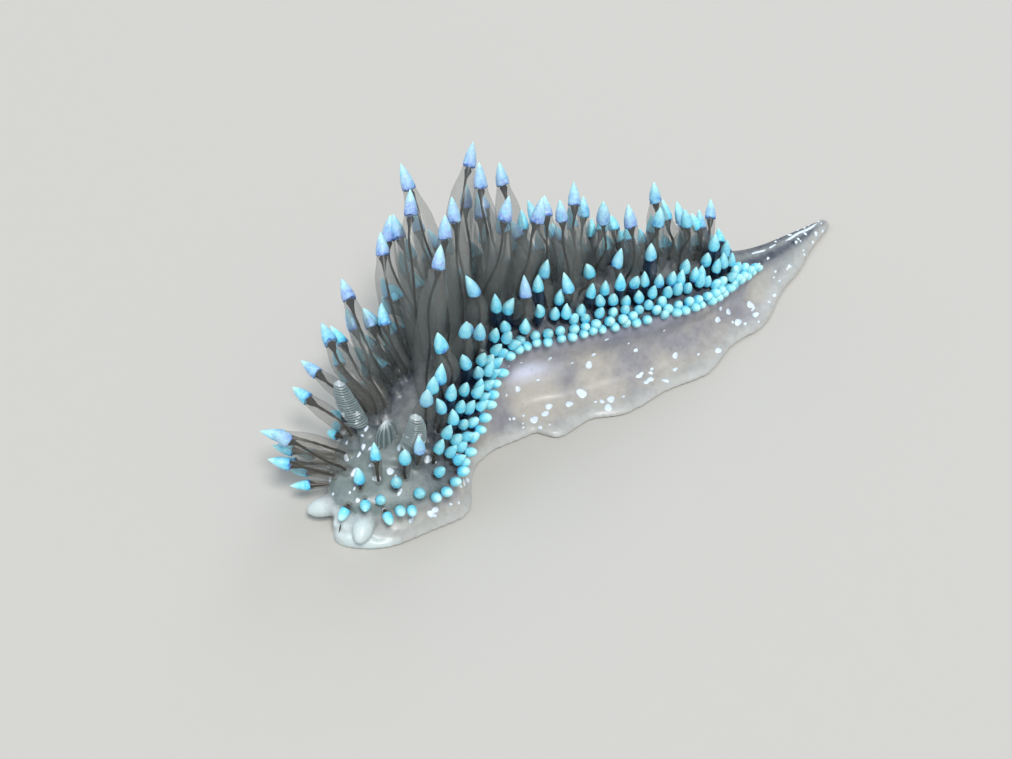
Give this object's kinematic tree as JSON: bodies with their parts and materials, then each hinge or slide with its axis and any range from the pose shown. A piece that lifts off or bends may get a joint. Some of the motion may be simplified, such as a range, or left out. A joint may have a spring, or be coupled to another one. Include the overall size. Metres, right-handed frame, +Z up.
{
  "type": "crested sea slug",
  "caption": "Crawling sea slug with a broad flat foot, a pointed tail, blunt oral tentacles, ringed rhinophores and a coat of blue-tipped finger-like cerata.",
  "frame": {"origin": "centre of the animal's bounding box on the floor it crawls on", "axes": "-X towards the head, +X towards the tail, -Y towards the animal's left, +Z up"},
  "size_m": [0.0608, 0.021, 0.0195],
  "materials": {
    "body": "wet translucent skin",
    "foot": "wet translucent skin",
    "feelers": "wet translucent skin",
    "rhinophores": "wet translucent skin"
  },
  "bodies": {
    "root": {"head": "body", "trunk_front": "body", "trunk_middle": "body", "trunk_rear": "body", "tail": "foot", "foot_front": "foot", "foot_rear": "foot", "oral_tentacle_left": "feelers", "oral_tentacle_right": "feelers", "rhinophore_left": "rhinophores", "rhinophore_right": "rhinophores", "caruncle": "rhinophores"}
  },
  "joints": []
}
